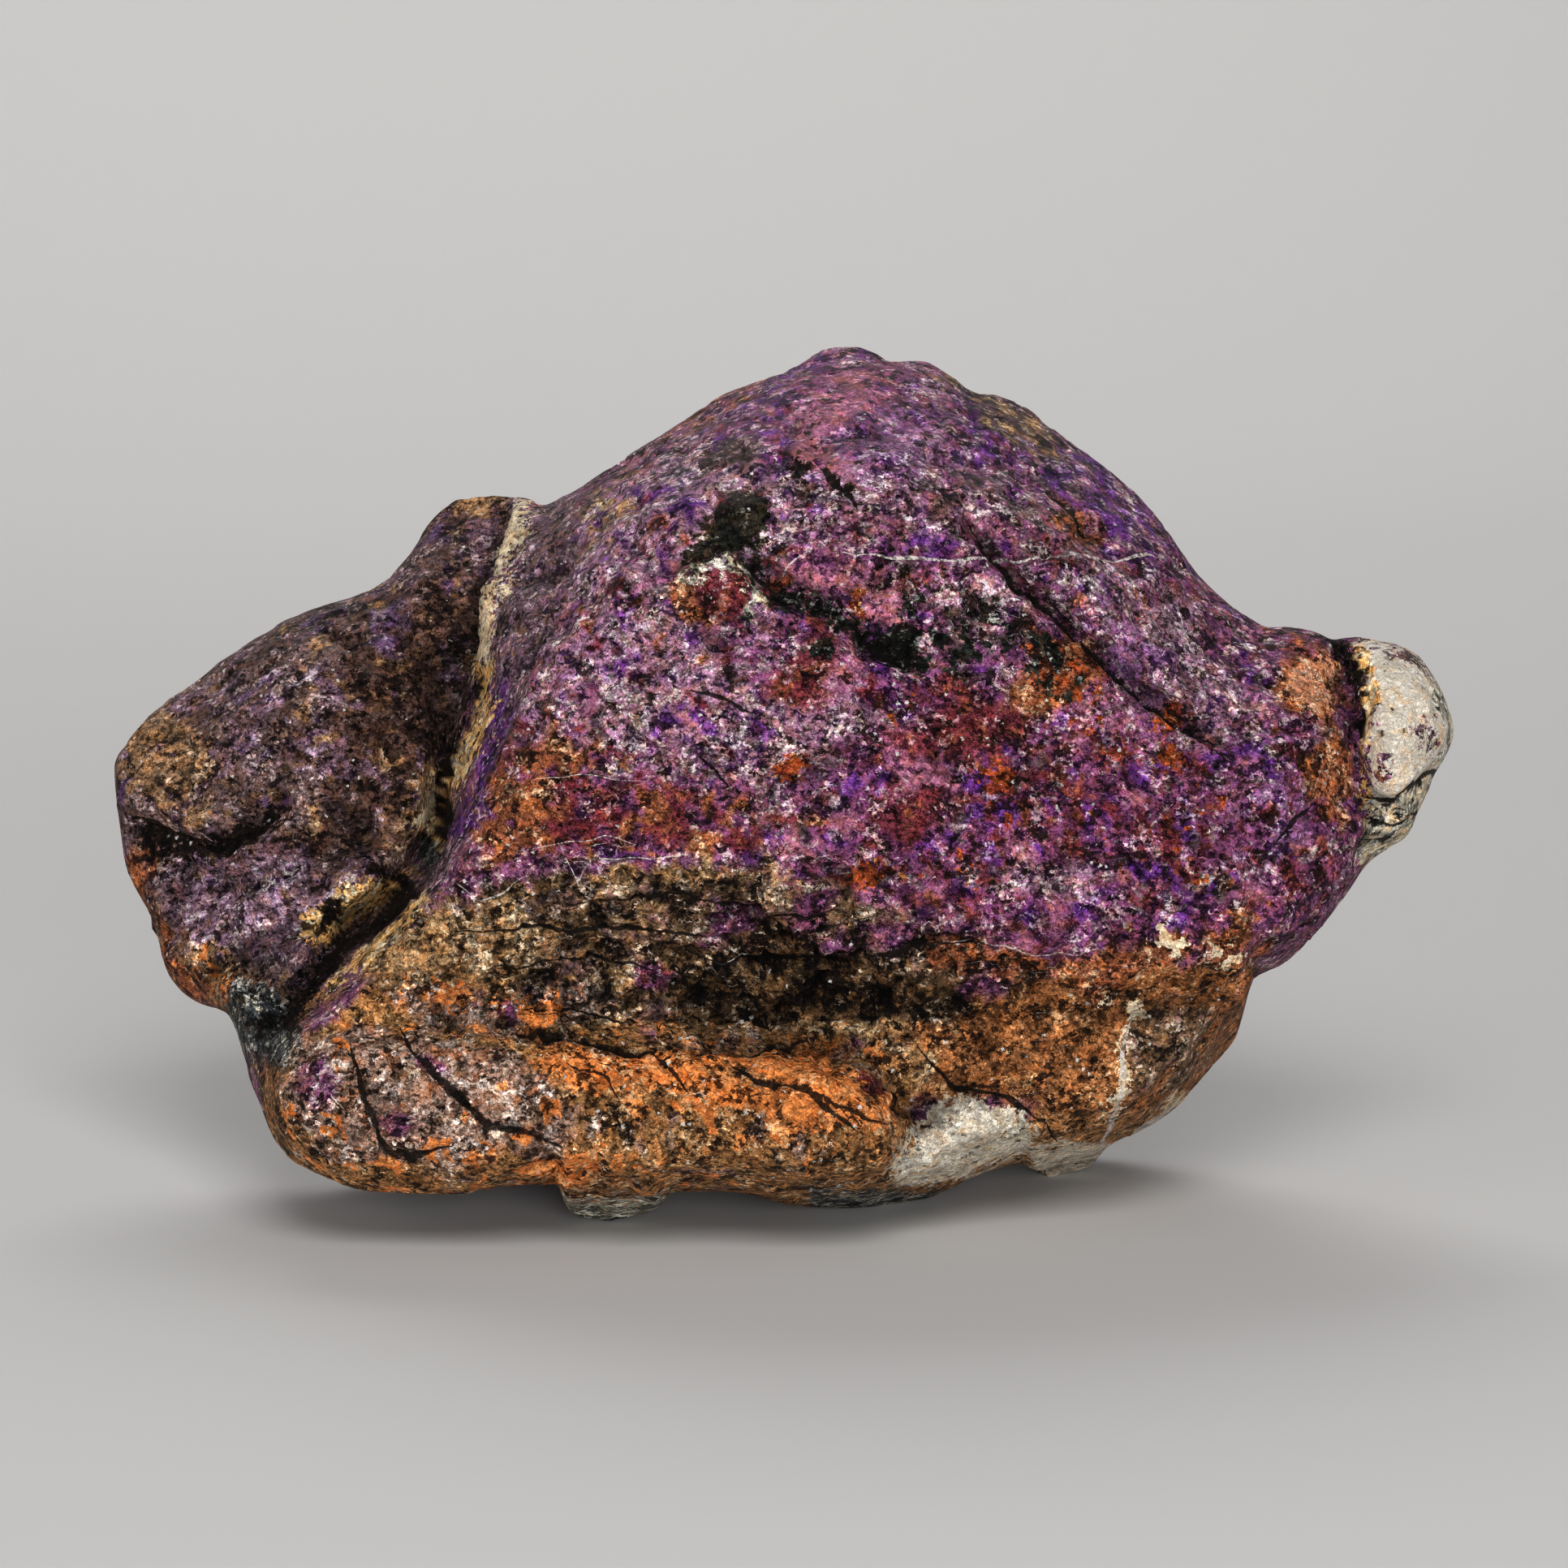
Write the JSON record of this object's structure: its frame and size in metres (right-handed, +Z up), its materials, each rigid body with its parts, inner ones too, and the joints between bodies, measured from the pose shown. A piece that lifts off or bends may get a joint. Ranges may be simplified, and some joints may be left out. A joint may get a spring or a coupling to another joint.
{
  "type": "purpurite specimen",
  "caption": "Rough hand specimen of purple phosphate mineral grown together with brown and white matrix, standing on small flat feet.",
  "frame": {"origin": "centre of the bounding box, on the ground plane that the feet touch", "axes": "+X to the right along the longest side, +Y to the hidden back, +Z up; the pictured face looks towards -Y"},
  "size_m": [0.0756, 0.0406, 0.0473],
  "materials": {
    "purple_stone": "rough, semi-matte, with fine glinting cleavage flecks"
  },
  "bodies": {
    "root": {"purpurite_rock": "purple_stone"}
  },
  "joints": []
}
